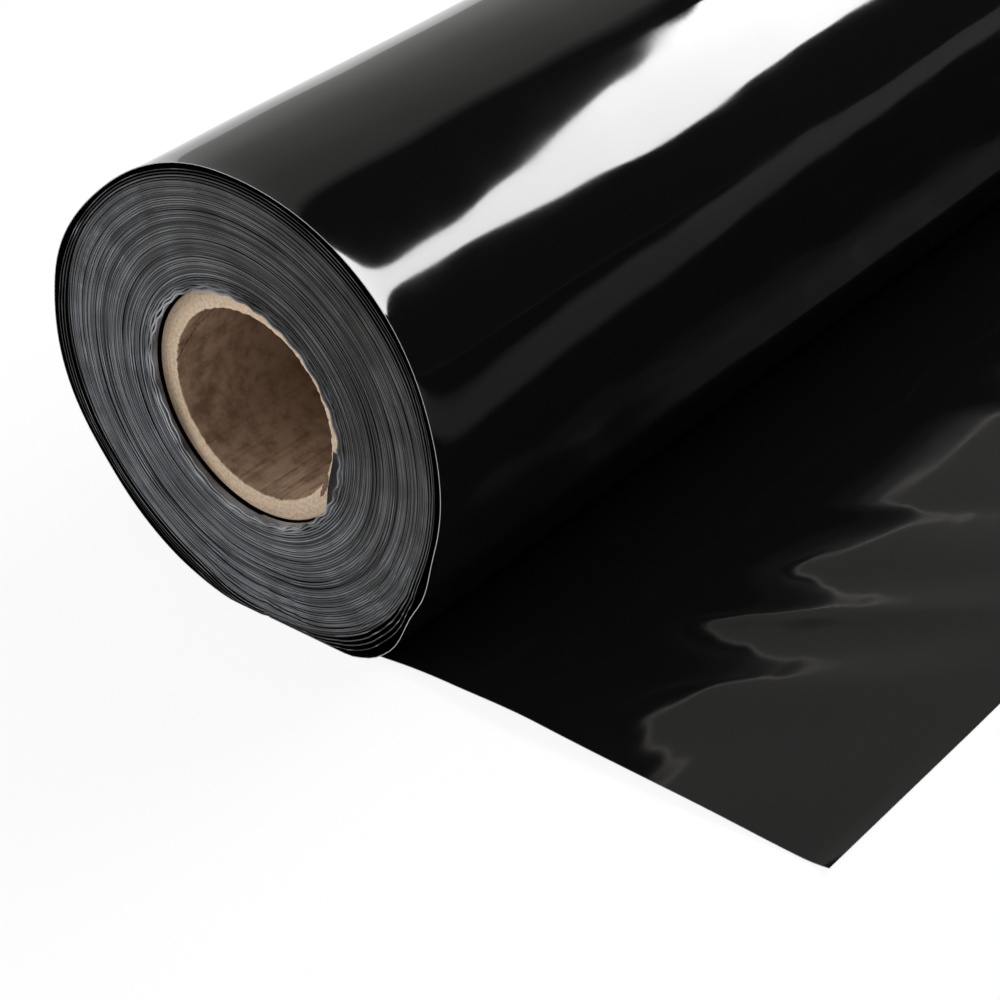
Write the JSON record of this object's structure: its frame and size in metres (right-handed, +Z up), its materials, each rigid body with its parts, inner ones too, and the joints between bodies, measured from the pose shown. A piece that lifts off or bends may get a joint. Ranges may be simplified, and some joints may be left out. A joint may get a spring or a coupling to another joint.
{
  "type": "roll of plastic sheeting",
  "caption": "Roll of glossy black plastic sheeting on a cardboard core, lying on its side, with a loose outer turn and its free end pulled out flat on the floor.",
  "frame": {"origin": "on the floor, straight under the middle of the core's axis, at the middle of the roll's length", "axes": "+X along the roll's axis, from the end that the picture shows to the far end, -Y the way the free end is pulled out, +Z up"},
  "size_m": [0.6067, 0.3459, 0.1873],
  "materials": {
    "film": "high gloss, black, with matt cut edges at the roll's ends",
    "core": "matt brown cardboard, cream at the cut ends"
  },
  "bodies": {
    "root": {"film": "film", "core_tube": "core"}
  },
  "joints": []
}
